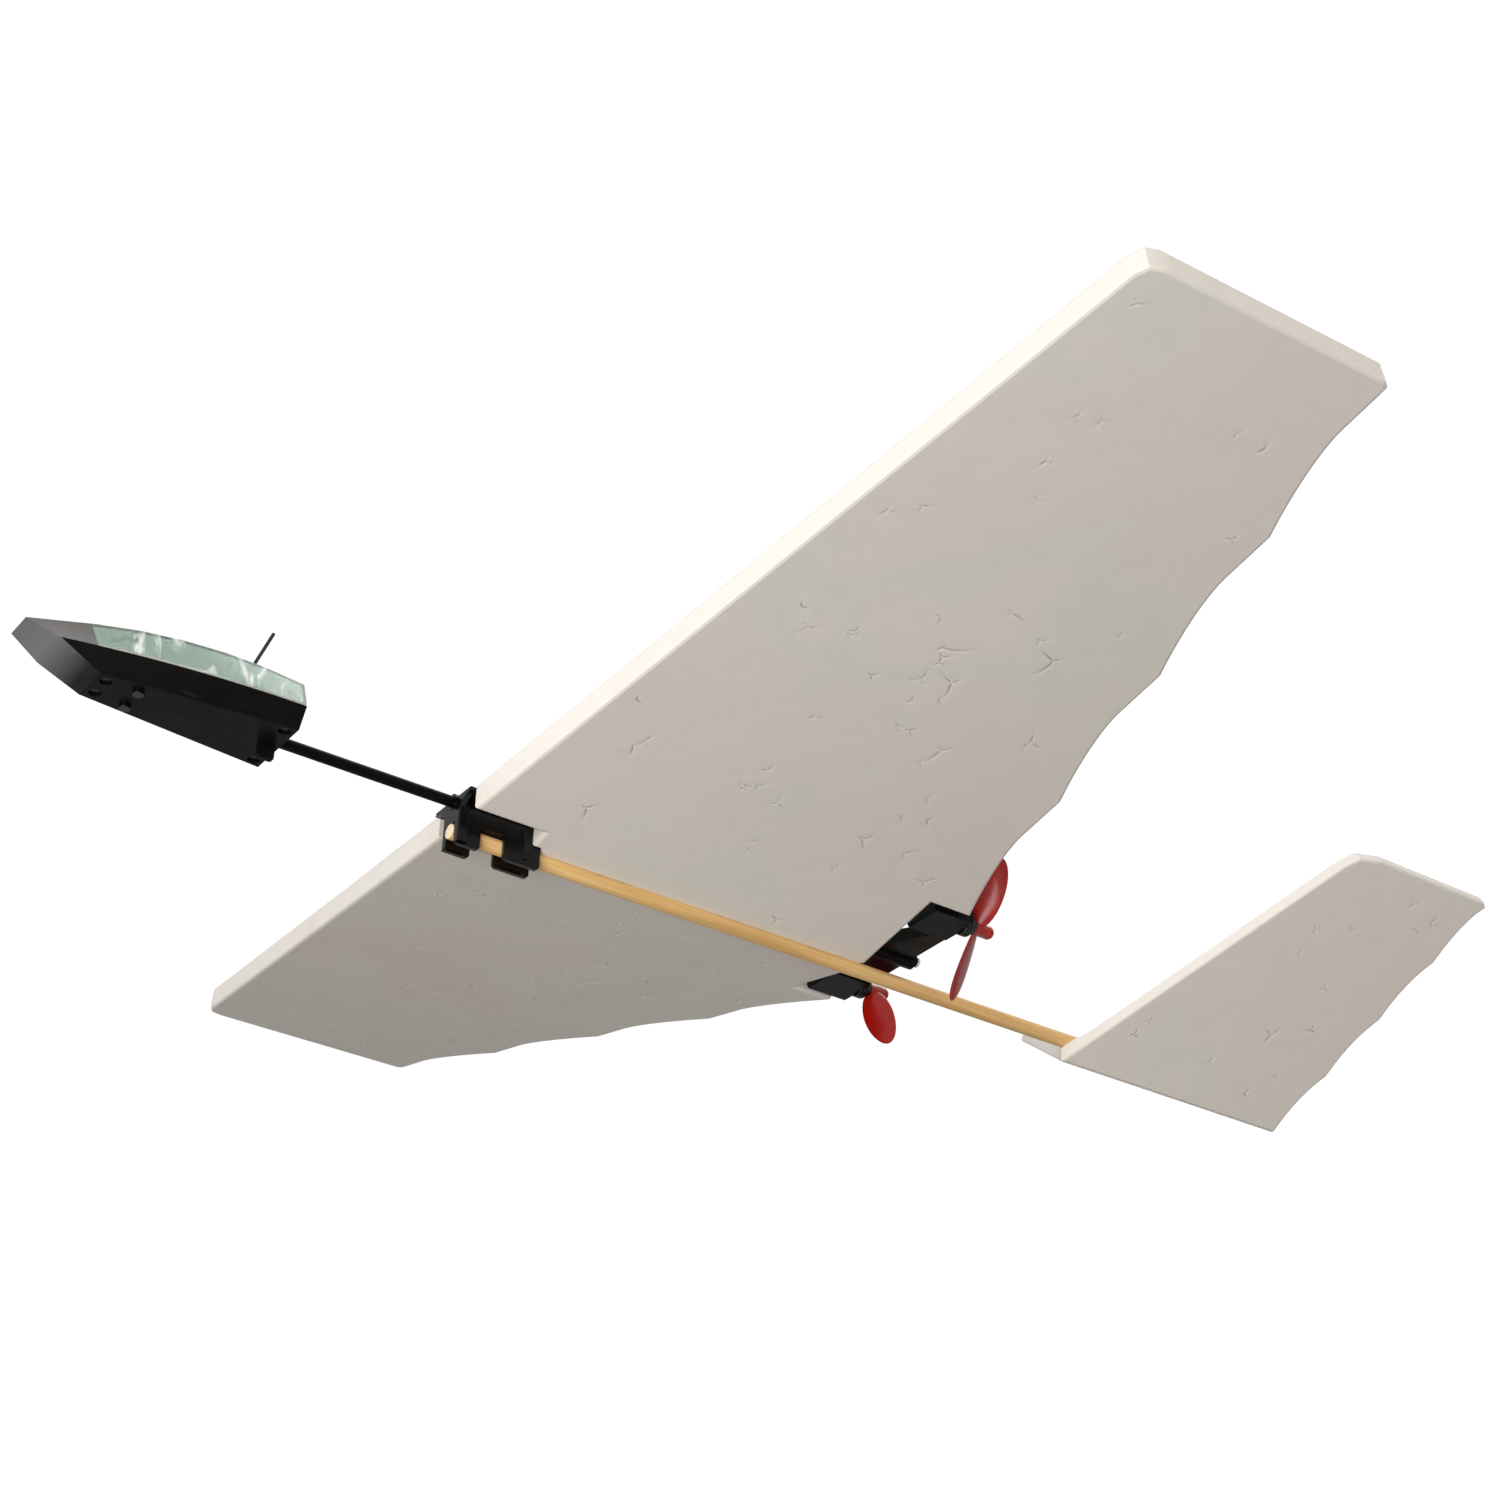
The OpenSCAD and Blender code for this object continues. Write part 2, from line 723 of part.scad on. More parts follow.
module motor_cap_port() {
    color("#222224") at_motor(1) motor_cap();
}

module motor_cap_starboard() {
    color("#222224") at_motor(-1) motor_cap();
}

module shaft_port() {
    color("#d0d2d4") at_motor(1) prop_shaft();
}

module shaft_starboard() {
    color("#d0d2d4") at_motor(-1) prop_shaft();
}

// ---- Propellers --------------------------------------------------------

stations = 13;
ring = 12;
blade_root = 1.6;
widest = 11.5;
widest_at = 0.47;
pitch_root = 50;
pitch_twist = 12;
blade_y = hub_front + 2.6;

// Chord, thickness and pitch along a blade, with u from 0 at the hub to 1
function chord(u) = widest * sqrt(max(0.02, 1 - pow((u - widest_at) / (1 - widest_at), 2)));
function blade_t(u) = 1.7 - 1.05 * u;
function pitch(u) = pitch_root + pitch_twist * u * u;

function blade_ring(u) = [for (k = [0 : ring - 1])
    let (a = 360 * k / ring, c = chord(u) / 2 * cos(a), t = blade_t(u) / 2 * sin(a),
         r = blade_root + u * (prop_d / 2 - blade_root))
    [c * cos(pitch(u)) - t * sin(pitch(u)), c * sin(pitch(u)) + t * cos(pitch(u)), r]];

// One blade reaching up along Z, turning about Y; its chord runs from
// forward and outboard to aft and inboard on the port side
module blade() {
    points = [for (i = [0 : stations - 1]) each blade_ring(sin(90 * i / (stations - 1)))];
    sides = [for (i = [0 : stations - 2], k = [0 : ring - 1])
        let (n = (k + 1) % ring)
        each [[i * ring + k, (i + 1) * ring + k, i * ring + n],
              [i * ring + n, (i + 1) * ring + k, (i + 1) * ring + n]]];
    last = (stations - 1) * ring;
    polyhedron(points, concat([[for (k = [0 : ring - 1]) k]], sides,
        [[for (k = [ring - 1 : -1 : 0]) last + k]]));
}

module propeller(turn) {
    difference() {
        union() {
            rod_along_y(hub_r, hub_front, hub_front + hub_len - 0.8);
            rod_along_y(hub_r - 0.5, hub_front + 1, hub_front + hub_len);
            translate([0, blade_y, 0]) rotate([0, turn, 0]) {
                blade();
                rotate([0, 180, 0]) blade();
            }
        }
        rod_along_y(shaft_r + 0.02, hub_front - 5, hub_front + hub_len - shaft_end + 0.1);
    }
}

module propeller_port() {
    color("#b3180c") at_motor(1) propeller(port_turn);
}

module propeller_starboard() {
    color("#b3180c") at_motor(-1) mirror([1, 0, 0]) propeller(starboard_turn);
}

pod_hull();
nose_bumper();
deck_frame();
clear_cover();
circuit_board();
radio_shield();
board_chips();
status_leds();
usb_socket();
antenna();
battery();
battery_pad();
power_button();
link_button();
button_switches();
button_board();
skid_fin();
pod_screws();
carbon_rod();
motor_wires();
rod_end_cap();
front_clip();
carrier_lower();
carrier_upper();
motor_port();
motor_starboard();
motor_cap_port();
motor_cap_starboard();
shaft_port();
shaft_starboard();
propeller_port();
propeller_starboard();
dowel();
wing_port();
wing_starboard();
tail_port();
tail_starboard();
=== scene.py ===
"""Looks of the foam model glider with its clip-on twin-pusher power module.

Lengths inside the functions are millimetres from the front end of the wooden dowel, on its axis:
+X to port, +Y aft, +Z up. place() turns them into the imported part's own frame, in metres.
"""
import json
import math
import random

import bmesh
import bpy
import numpy as np
from mathutils import Euler, Matrix, Vector, noise
from mathutils.geometry import delaunay_2d_cdt


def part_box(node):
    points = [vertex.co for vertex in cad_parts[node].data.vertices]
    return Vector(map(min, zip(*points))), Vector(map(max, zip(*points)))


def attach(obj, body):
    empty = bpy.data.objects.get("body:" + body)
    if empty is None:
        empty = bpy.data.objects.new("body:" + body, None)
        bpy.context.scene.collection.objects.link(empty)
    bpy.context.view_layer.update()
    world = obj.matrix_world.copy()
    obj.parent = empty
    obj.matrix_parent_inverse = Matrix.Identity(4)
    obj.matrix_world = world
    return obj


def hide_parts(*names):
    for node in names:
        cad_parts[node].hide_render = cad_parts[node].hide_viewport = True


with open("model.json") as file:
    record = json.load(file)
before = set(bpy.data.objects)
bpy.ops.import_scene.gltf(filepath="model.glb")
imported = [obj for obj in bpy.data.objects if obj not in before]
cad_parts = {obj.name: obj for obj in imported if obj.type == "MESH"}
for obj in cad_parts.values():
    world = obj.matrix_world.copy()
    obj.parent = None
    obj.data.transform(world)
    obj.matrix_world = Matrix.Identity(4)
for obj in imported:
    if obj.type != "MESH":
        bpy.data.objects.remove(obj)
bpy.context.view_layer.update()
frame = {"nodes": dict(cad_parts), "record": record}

MM = 0.001
SLOT_OF = {row["node"]: row["material_slot"] for row in frame["record"]["subparts"]}
BODIES = frame["record"]["behaviour"]["bodies"]
BODY_OF = {node: body for body, nodes in BODIES.items() for node in nodes}
POD_BOTTOM, NOSE_TOP = 8.8, 21.0

dowel_low, dowel_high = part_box("dowel")
ZERO = Vector(((dowel_low.x + dowel_high.x) / 2, dowel_low.y, (dowel_low.z + dowel_high.z) / 2))


def place(point):
    """A point in millimetres from the dowel's front end, in the row frame."""
    return ZERO + Vector(point) * MM


def local_box(node):
    """A CAD node's corners in millimetres from the dowel's front end."""
    low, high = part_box(node)
    return (low - ZERO) / MM, (high - ZERO) / MM


# ---- Camera, light and stage ----------------------------------------------------------------

AIM = Vector((0.0167, -0.0102, 0.0329))
CAMERA_AZIMUTH, CAMERA_ELEVATION, CAMERA_ROLL = 56.395, -30.859, 1.804
CAMERA_DISTANCE = 1.064
FOCAL_LENGTH, SENSOR = 71.04, 36.0
CLIP_NEAR, CLIP_FAR = 0.02, 20.0
FLOOR_Z, FLOOR_HALF = -1.95, 9.0


def toward(azimuth, elevation):
    """The direction from the object towards an azimuth and elevation, azimuth 0 looking along +Y."""
    a, e = math.radians(azimuth), math.radians(elevation)
    return Vector((math.sin(a) * math.cos(e), -math.cos(a) * math.cos(e), math.sin(e)))


def make_camera():
    data = bpy.data.cameras.new("camera")
    data.lens, data.sensor_width = FOCAL_LENGTH, SENSOR
    data.clip_start, data.clip_end = CLIP_NEAR, CLIP_FAR
    camera = bpy.data.objects.new("camera", data)
    bpy.context.scene.collection.objects.link(camera)
    back = toward(CAMERA_AZIMUTH, CAMERA_ELEVATION)
    turn = (-back).to_track_quat("-Z", "Y") @ Euler((0, 0, math.radians(CAMERA_ROLL))).to_quaternion()
    camera.location = AIM + back * CAMERA_DISTANCE
    camera.rotation_mode = "QUATERNION"
    camera.rotation_quaternion = turn
    bpy.context.scene.camera = camera


def soft_light(name, azimuth, elevation, distance, size, watts, colour=(1, 1, 1)):
    data = bpy.data.lights.new(name, "AREA")
    data.shape, data.size, data.energy, data.color = "DISK", size, watts, colour
    light = bpy.data.objects.new(name, data)
    bpy.context.scene.collection.objects.link(light)
    back = toward(azimuth, elevation)
    light.location = back * distance
    light.rotation_mode = "QUATERNION"
    light.rotation_quaternion = (-back).to_track_quat("-Z", "Y")


def make_world():
    """White behind the object; the light it gives is dimmer, and dimmer still from below."""
    world = bpy.data.worlds.new("studio")
    bpy.context.scene.world = world
    world.use_nodes = True
    nodes, links = world.node_tree.nodes, world.node_tree.links
    nodes.clear()
    out = nodes.new("ShaderNodeOutputWorld")
    choose = nodes.new("ShaderNodeMixShader")
    rays = nodes.new("ShaderNodeLightPath")
    seen, given = nodes.new("ShaderNodeBackground"), nodes.new("ShaderNodeBackground")
    seen.inputs["Color"].default_value = (1, 1, 1, 1)
    seen.inputs["Strength"].default_value = 1.05
    where, parts = nodes.new("ShaderNodeTexCoord"), nodes.new("ShaderNodeSeparateXYZ")
    height, blend = nodes.new("ShaderNodeMapRange"), nodes.new("ShaderNodeValToRGB")
    height.inputs["From Min"].default_value, height.inputs["From Max"].default_value = -1, 1
    below, above = blend.color_ramp.elements
    below.position, below.color = 0.30, (0.200, 0.193, 0.186, 1)
    above.position, above.color = 0.72, (0.56, 0.56, 0.57, 1)
    links.new(where.outputs["Generated"], parts.inputs[0])
    links.new(parts.outputs["Z"], height.inputs["Value"])
    links.new(height.outputs[0], blend.inputs[0])
    links.new(blend.outputs[0], given.inputs["Color"])
    links.new(rays.outputs["Is Camera Ray"], choose.inputs[0])
    links.new(given.outputs[0], choose.inputs[1])
    links.new(seen.outputs[0], choose.inputs[2])
    links.new(choose.outputs[0], out.inputs["Surface"])


def make_floor():
    """A wide pale floor, far enough below for the camera to look up at the object."""
    mesh = bpy.data.meshes.new("studio_floor")
    corners = [(x * FLOOR_HALF, y * FLOOR_HALF, FLOOR_Z) for x, y in ((-1, -1), (1, -1), (1, 1), (-1, 1))]
    mesh.from_pydata(corners, [], [(0, 1, 2, 3)])
    floor = bpy.data.objects.new("studio_floor", mesh)
    bpy.context.scene.collection.objects.link(floor)
    made = Shader("floor_paint", base=(0.93, 0.93, 0.93), rough=0.9)
    made.colour(made.ramp(made.noise(1.5), (0.3, (0.92, 0.92, 0.92)), (0.7, (0.94, 0.94, 0.94))))
    mesh.materials.append(made.material)
    floor.visible_diffuse = False


def make_studio():
    make_world()
    soft_light("front_low", 34, -24, 1.35, 1.0, 13.8, (1.0, 0.975, 0.95))
    soft_light("front_key", -8, 12, 1.7, 1.0, 6.4)
    soft_light("port_fill", 88, 8, 1.9, 1.1, 4.0, (1.0, 0.85, 0.73))
    soft_light("top", 175, 68, 2.0, 1.6, 13.0)
    view = bpy.context.scene.view_settings
    view.view_transform, view.look = "Standard", "None"


# ---- Shader building ------------------------------------------------------------------------

class Shader:
    """A procedural material built on one Principled shader."""

    def __init__(self, name, base=(0.5, 0.5, 0.5), rough=0.5, **plain):
        self.material = bpy.data.materials.new(name)
        self.material.use_nodes = True
        self.tree = self.material.node_tree
        self.surface = self.tree.nodes["Principled BSDF"]
        self.surface.inputs["Base Color"].default_value = (*base, 1)
        self.surface.inputs["Roughness"].default_value = rough
        for socket, value in plain.items():
            self.surface.inputs[socket.replace("_", " ")].default_value = value
        self.where = self.add("ShaderNodeTexCoord").outputs["Object"]
        self.last_bump = None

    def add(self, kind, **settings):
        node = self.tree.nodes.new(kind)
        for key, value in settings.items():
            setattr(node, key, value)
        return node

    def link(self, source, target):
        self.tree.links.new(source, target)

    def mapped(self, stretch, turn=(0, 0, 0)):
        mapping = self.add("ShaderNodeMapping")
        mapping.inputs["Scale"].default_value = stretch
        mapping.inputs["Rotation"].default_value = turn
        self.link(self.where, mapping.inputs["Vector"])
        return mapping.outputs[0]

    def noise(self, scale, detail=4.0, rough=0.5, stretch=(1, 1, 1), distortion=0.0, turn=(0, 0, 0)):
        node = self.add("ShaderNodeTexNoise")
        for socket, value in (("Scale", scale), ("Detail", detail), ("Roughness", rough),
                              ("Distortion", distortion)):
            node.inputs[socket].default_value = value
        self.link(self.mapped(stretch, turn), node.inputs["Vector"])
        return node.outputs["Fac"]

    def cells(self, scale, feature="F1", stretch=(1, 1, 1)):
        node = self.add("ShaderNodeTexVoronoi", feature=feature)
        node.inputs["Scale"].default_value = scale
        self.link(self.mapped(stretch), node.inputs["Vector"])
        return node.outputs["Distance"]

    def attribute(self, name):
        return self.add("ShaderNodeAttribute", attribute_name=name).outputs["Fac"]

    def ramp(self, source, *stops):
        node = self.add("ShaderNodeValToRGB")
        band = node.color_ramp
        while len(band.elements) < len(stops):
            band.elements.new(0.5)
        for element, (position, colour) in zip(band.elements, stops):
            element.position = position
            element.color = (*colour, 1) if isinstance(colour, tuple) else (colour, colour, colour, 1)
        self.link(source, node.inputs["Fac"])
        return node.outputs["Color"]

    def mix(self, factor, first, second, kind="MIX"):
        node = self.add("ShaderNodeMix", data_type="RGBA", blend_type=kind)
        for socket, value in ((node.inputs[0], factor), (node.inputs[6], first), (node.inputs[7], second)):
            if isinstance(value, bpy.types.NodeSocket):
                self.link(value, socket)
            elif isinstance(value, tuple):
                socket.default_value = (*value, 1)
            else:
                socket.default_value = value
        return node.outputs[2]

    def span(self, source, low, high, out_low, out_high):
        node = self.add("ShaderNodeMapRange")
        for socket, value in (("From Min", low), ("From Max", high),
                              ("To Min", out_low), ("To Max", out_high)):
            node.inputs[socket].default_value = value
        self.link(source, node.inputs["Value"])
        return node.outputs[0]

    def edges(self, low=0.52, high=0.60):
        """1 along sharp outer edges, where handling has worn the surface."""
        return self.span(self.add("ShaderNodeNewGeometry").outputs["Pointiness"], low, high, 0, 1)

    def height(self, low, high):
        """0 to 1 between two heights in millimetres above the dowel's axis."""
        parts = self.add("ShaderNodeSeparateXYZ")
        self.link(self.where, parts.inputs[0])
        return self.span(parts.outputs["Z"], *(ZERO.z + z * MM for z in (low, high)), 0, 1)

    def colour(self, source):
        self.link(source, self.surface.inputs["Base Color"])

    def roughness(self, source, low, high):
        self.link(self.span(source, 0.3, 0.7, low, high), self.surface.inputs["Roughness"])

    def bump(self, height, strength, depth_mm):
        node = self.add("ShaderNodeBump")
        node.inputs["Strength"].default_value = strength
        node.inputs["Distance"].default_value = depth_mm * MM
        self.link(height, node.inputs["Height"])
        if self.last_bump is not None:
            self.link(self.last_bump, node.inputs["Normal"])
        self.last_bump = node.outputs[0]
        self.link(self.last_bump, self.surface.inputs["Normal"])


def moulded(name, dark, light, rough=(0.3, 0.45), wear=None, grain=900, depth=0.03, **plain):
    """Moulded plastic: a fine spark-eroded grain, cloudy colour, uneven gloss and thin handling marks."""
    made = Shader(name, base=light, **plain)
    cloud = made.noise(55, 5)
    tone = made.ramp(cloud, (0.3, dark), (0.7, light))
    if wear is not None:
        streaks = made.noise(260, 3, stretch=(1, 0.12, 1), turn=(0.3, 0.2, 0.5))
        marks = made.ramp(streaks, (0.66, 0.0), (0.74, 1.0))
        tone = made.mix(marks, tone, wear)
    made.colour(tone)
    made.roughness(made.noise(130, 4), *rough)
    made.bump(made.noise(grain, 2), 0.35, depth)
    return made.material


def brushed(name, dark, light, rough=(0.25, 0.4), stretch=(1, 0.08, 1), scale=900):
    """Drawn or turned metal with fine lines along one direction."""
    made = Shader(name, base=light, Metallic=1.0)
    lines = made.noise(scale, 3, stretch=stretch)
    made.colour(made.ramp(made.noise(90, 4), (0.3, dark), (0.7, light)))
    made.roughness(lines, *rough)
    made.bump(lines, 0.25, 0.02)
    return made.material


def foam_skin():
    """Moulded foam: a smooth skin with faint beads, soft folds, cloudy tints and painted shade along its
    creases.
    """
    made = Shader("foam", base=(0.84, 0.79, 0.73), rough=0.62, Specular_IOR_Level=0.32)
    tint = made.noise(9, 3, 0.55)
    base = made.ramp(tint, (0.32, (0.82, 0.745, 0.675)), (0.47, (0.84, 0.785, 0.725)),
                     (0.60, (0.81, 0.785, 0.715)), (0.74, (0.86, 0.805, 0.74)))
    grime = made.ramp(made.noise(120, 6, 0.7), (0.28, 0.965), (0.52, 1.0))
    base = made.mix(1.0, base, grime, "MULTIPLY")
    # Painted shade: the crease centre lines are darkened towards brown.
    base = made.mix(made.attribute("painted_crease_shade"), base, (0.30, 0.26, 0.22))
    made.colour(base)
    made.roughness(made.noise(70, 4), 0.52, 0.72)
    made.bump(made.noise(26, 3, 0.45), 0.25, 0.5)
    made.bump(made.cells(520, "SMOOTH_F1"), 0.16, 0.05)
    return made.material


def wood():
    """A planed dowel: long grain lines, short pores and darker growth bands."""
    made = Shader("dowel_wood", base=(0.80, 0.50, 0.21), rough=0.5, Specular_IOR_Level=0.35)
    bands = made.noise(330, 4, 0.6, stretch=(1, 0.035, 1), distortion=0.3)
    pores = made.noise(1500, 3, 0.6, stretch=(1, 0.05, 1))
    tone = made.ramp(bands, (0.32, (0.66, 0.39, 0.135)), (0.5, (0.80, 0.505, 0.20)),
                     (0.68, (0.88, 0.59, 0.265)))
    tone = made.mix(1.0, tone, made.ramp(pores, (0.30, 0.80), (0.46, 1.0)), "MULTIPLY")
    ends = made.attribute("cut_end")
    tone = made.mix(ends, tone, (0.92, 0.78, 0.55))
    made.colour(tone)
    made.roughness(bands, 0.42, 0.62)
    made.bump(pores, 0.3, 0.04)
    return made.material


def clear_plastic():
    """Thin vacuum-formed clear plastic with a green cast and faint upright streaks, partly frosting and
    partly a painted highlight.
    """
    made = Shader("clear_plastic", base=(0.80, 0.92, 0.85), rough=0.1, IOR=1.46, Specular_IOR_Level=0.6)
    streak = made.noise(110, 3, 0.55, stretch=(1, 1, 0.14), distortion=0.4)
    frost_and_painted_highlight = made.ramp(streak, (0.58, 0.0), (0.66, 1.0))
    # Painted highlight and frost: the upright streaks are whiter and less clear.
    made.colour(made.mix(frost_and_painted_highlight, (0.74, 0.87, 0.79), (0.97, 0.99, 0.97)))
    clear = made.span(frost_and_painted_highlight, 0, 1, 0.88, 0.25)
    made.link(clear, made.surface.inputs["Transmission Weight"])
    made.roughness(made.noise(60, 4), 0.06, 0.22)
    made.bump(made.noise(80, 2, 0.5, stretch=(1, 1, 0.35), distortion=0.8), 0.35, 0.35)
    return made.material


def circuit_board():
    """Green solder mask with faint copper tracks under it and small tinned pads."""
    made = Shader("circuit_green", base=(0.02, 0.17, 0.07), rough=0.35)
    tracks = made.ramp(made.cells(420, "DISTANCE_TO_EDGE"), (0.02, 1.0), (0.07, 0.0))
    tone = made.mix(tracks, (0.015, 0.15, 0.055), (0.05, 0.30, 0.12))
    pads = made.ramp(made.cells(700), (0.08, 1.0), (0.13, 0.0))
    made.colour(made.mix(pads, tone, (0.62, 0.62, 0.58)))
    made.roughness(made.noise(300), 0.3, 0.5)
    made.bump(tracks, 0.4, 0.03)
    return made.material


def woven_carbon():
    """A pultruded carbon rod: dark strands along its length under a satin resin."""
    made = Shader("carbon", base=(0.003, 0.003, 0.003), rough=0.35, Specular_IOR_Level=0.06)
    strands = made.noise(1400, 3, 0.6, stretch=(1, 0.03, 1))
    made.colour(made.ramp(strands, (0.35, (0.001, 0.001, 0.001)), (0.65, (0.004, 0.004, 0.004))))
    made.roughness(strands, 0.28, 0.48)
    made.bump(strands, 0.3, 0.03)
    return made.material


def red_plastic():
    """Glossy red propeller plastic, deeper red in cloudy patches and scuffed at its edges."""
    made = Shader("propeller_red", base=(0.30, 0.009, 0.005), rough=0.2, Coat_Weight=0.3,
                  Coat_Roughness=0.10, Specular_IOR_Level=0.35)
    tone = made.ramp(made.noise(60, 4), (0.3, (0.33, 0.005, 0.002)), (0.7, (0.43, 0.009, 0.004)))
    scuffs = made.mix(1.0, made.edges(0.55, 0.66), made.ramp(made.noise(420, 3), (0.45, 0.0), (0.6, 1.0)),
                      "MULTIPLY")
    made.colour(made.mix(scuffs, tone, (0.50, 0.09, 0.06)))
    made.roughness(made.noise(160, 5), 0.16, 0.28)
    made.bump(made.noise(300, 2), 0.1, 0.03)
    return made.material


def printed_foil():
    """The cell's heat-sealed foil: dull silver blue with a soft crinkle, painted darker in its hollows and
    lighter on its ridges.
    """
    made = Shader("battery_foil", base=(0.42, 0.47, 0.53), rough=0.35, Metallic=0.6)
    crinkle = made.noise(260, 5, 0.6, distortion=1.0)
    # Painted shade and highlight: darker in the crinkle's hollows, lighter on its ridges.
    made.colour(made.ramp(crinkle, (0.3, (0.34, 0.39, 0.45)), (0.7, (0.55, 0.60, 0.66))))
    made.roughness(crinkle, 0.25, 0.5)
    made.bump(crinkle, 0.6, 0.12)
    return made.material


def soft_pad():
    """Double-sided foam tape with an open cell structure, its pits darkened with painted shade."""
    made = Shader("pad_white", base=(0.75, 0.75, 0.70), rough=0.9)
    pits = made.cells(900)
    # Painted shade: darker towards the centre of each pit.
    made.colour(made.ramp(pits, (0.1, (0.62, 0.62, 0.57)), (0.5, (0.80, 0.80, 0.75))))
    made.bump(pits, 0.6, 0.1)
    return made.material


def nose_material():
    """Soft grey bumper plastic with a painted reflection that makes it lighter partway up and near black
    towards the belly, and small pale knocks.
    """
    made = Shader("nose_grey", base=(0.13, 0.125, 0.12), rough=0.5, Specular_IOR_Level=0.2)
    # Painted reflection: grey by height, near black at the belly and brightest about two thirds of the way
    # up.
    height = made.height(POD_BOTTOM, NOSE_TOP)
    tone = made.ramp(height, (0.12, (0.004, 0.004, 0.004)), (0.62, (0.200, 0.199, 0.197)),
                     (1.0, (0.160, 0.156, 0.153)))
    tone = made.mix(1.0, tone, made.ramp(made.noise(48, 4), (0.3, 0.88), (0.7, 1.0)), "MULTIPLY")
    knocks = made.ramp(made.noise(300, 3), (0.70, 0.0), (0.76, 1.0))
    made.colour(made.mix(knocks, tone, (0.22, 0.21, 0.20)))
    made.roughness(made.noise(140, 4), 0.38, 0.56)
    made.bump(made.noise(1000, 2), 0.4, 0.03)
    return made.material


def make_materials():
    black, soot = (0.0025, 0.0024, 0.0022), (0.0055, 0.0052, 0.0048)
    rub = (0.018, 0.018, 0.018)
    low = {"Specular_IOR_Level": 0.07}
    return {
        "pod_black": moulded("pod_black", black, soot, (0.34, 0.46), rub, **low),
        "nose_grey": nose_material(),
        "frame_grey": moulded("frame_grey", (0.36, 0.35, 0.33), (0.50, 0.49, 0.46), (0.35, 0.5)),
        "clear_plastic": clear_plastic(),
        "circuit_green": circuit_board(),
        "tinned_metal": brushed("tinned_metal", (0.52, 0.53, 0.54), (0.72, 0.73, 0.74)),
        "chip_black": moulded("chip_black", (0.010, 0.010, 0.011), (0.022, 0.022, 0.024), (0.45, 0.6)),
        "led_white": moulded("led_white", (0.82, 0.84, 0.78), (0.94, 0.95, 0.90), (0.12, 0.22)),
        "antenna_black": moulded("antenna_black", (0.006, 0.006, 0.007), (0.016, 0.016, 0.018),
                                 (0.35, 0.5)),
        "battery_foil": printed_foil(),
        "pad_white": soft_pad(),
        "button_black": moulded("button_black", black, soot, (0.10, 0.2), rub, Specular_IOR_Level=0.3,
                                Coat_Weight=0.15, Coat_Roughness=0.08),
        "screw_steel": brushed("screw_steel", (0.05, 0.05, 0.052), (0.10, 0.10, 0.104),
                               (0.3, 0.45)),
        "carbon": woven_carbon(),
        "wire_red": moulded("wire_red", (0.28, 0.02, 0.012), (0.40, 0.035, 0.02), (0.35, 0.5)),
        "cap_white": moulded("cap_white", (0.82, 0.82, 0.79), (0.93, 0.93, 0.90), (0.3, 0.45)),
        "clip_black": moulded("clip_black", black, soot, (0.14, 0.24), rub, Specular_IOR_Level=0.22,
                               Coat_Weight=0.12, Coat_Roughness=0.08),
        "carrier_black": moulded("carrier_black", black, soot, (0.20, 0.32), rub, **low),
        "motor_can": brushed("motor_can", (0.50, 0.51, 0.52), (0.70, 0.71, 0.72)),
        "motor_cap": moulded("motor_cap", black, (0.012, 0.012, 0.013), (0.16, 0.28), rub),
        "shaft_steel": brushed("shaft_steel", (0.55, 0.56, 0.57), (0.75, 0.76, 0.77), (0.15, 0.28)),
        "propeller_red": red_plastic(),
        "dowel_wood": wood(),
        "foam": foam_skin(),
    }


# ---- Making pieces --------------------------------------------------------------------------

def new_piece(name, mesh, nodes, smooth_angle=35):
    """Puts a mesh in the scene as a piece that stands for CAD nodes: their body, slot and material."""
    piece = bpy.data.objects.new(name, mesh)
    bpy.context.scene.collection.objects.link(piece)
    mesh.materials.clear()
    mesh.materials.append(MATERIALS[SLOT_OF[nodes[0]]])
    mesh.shade_smooth()
    if smooth_angle is not None:
        mesh.set_sharp_from_angle(angle=math.radians(smooth_angle))
    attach(piece, BODY_OF[nodes[0]])
    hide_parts(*nodes)
    return piece


def mesh_from(name, points, faces):
    """A mesh from points in millimetres, with its faces turned outwards."""
    mesh = bpy.data.meshes.new(name)
    mesh.from_pydata([place(p) for p in points], [], faces)
    work = bmesh.new()
    work.from_mesh(mesh)
    bmesh.ops.recalc_face_normals(work, faces=work.faces)
    work.to_mesh(mesh)
    work.free()
    return mesh


def softened(node, width, segments=2, angle=28, pick=None):
    """A CAD node's own shape with its sharp edges rounded. pick(edge) may give an edge another width."""
    mesh = frame["nodes"][node].data.copy()
    work = bmesh.new()
    work.from_mesh(mesh)
    bmesh.ops.remove_doubles(work, verts=work.verts, dist=2e-6)
    bmesh.ops.dissolve_limit(work, angle_limit=math.radians(1.0), verts=work.verts, edges=work.edges)
    layer = work.edges.layers.float.new("bevel_weight_edge")
    chosen = []
    for edge in work.edges:
        if len(edge.link_faces) == 2 and edge.calc_face_angle(0) > math.radians(angle):
            chosen.append((edge, pick(edge) if pick else width))
    widest = max([width, *(w for _, w in chosen)])
    for edge, own in chosen:
        edge[layer] = own / widest
    work.to_mesh(mesh)
    work.free()
    piece = new_piece(node + "_shaped", mesh, [node])
    bevel = piece.modifiers.new("round_edges", "BEVEL")
    bevel.width, bevel.segments, bevel.limit_method = widest * MM, segments, "WEIGHT"
    bevel.use_clamp_overlap = True
    bevel.harden_normals = False
    level = piece.modifiers.new("even_normals", "WEIGHTED_NORMAL")
    level.keep_sharp = True
    return piece


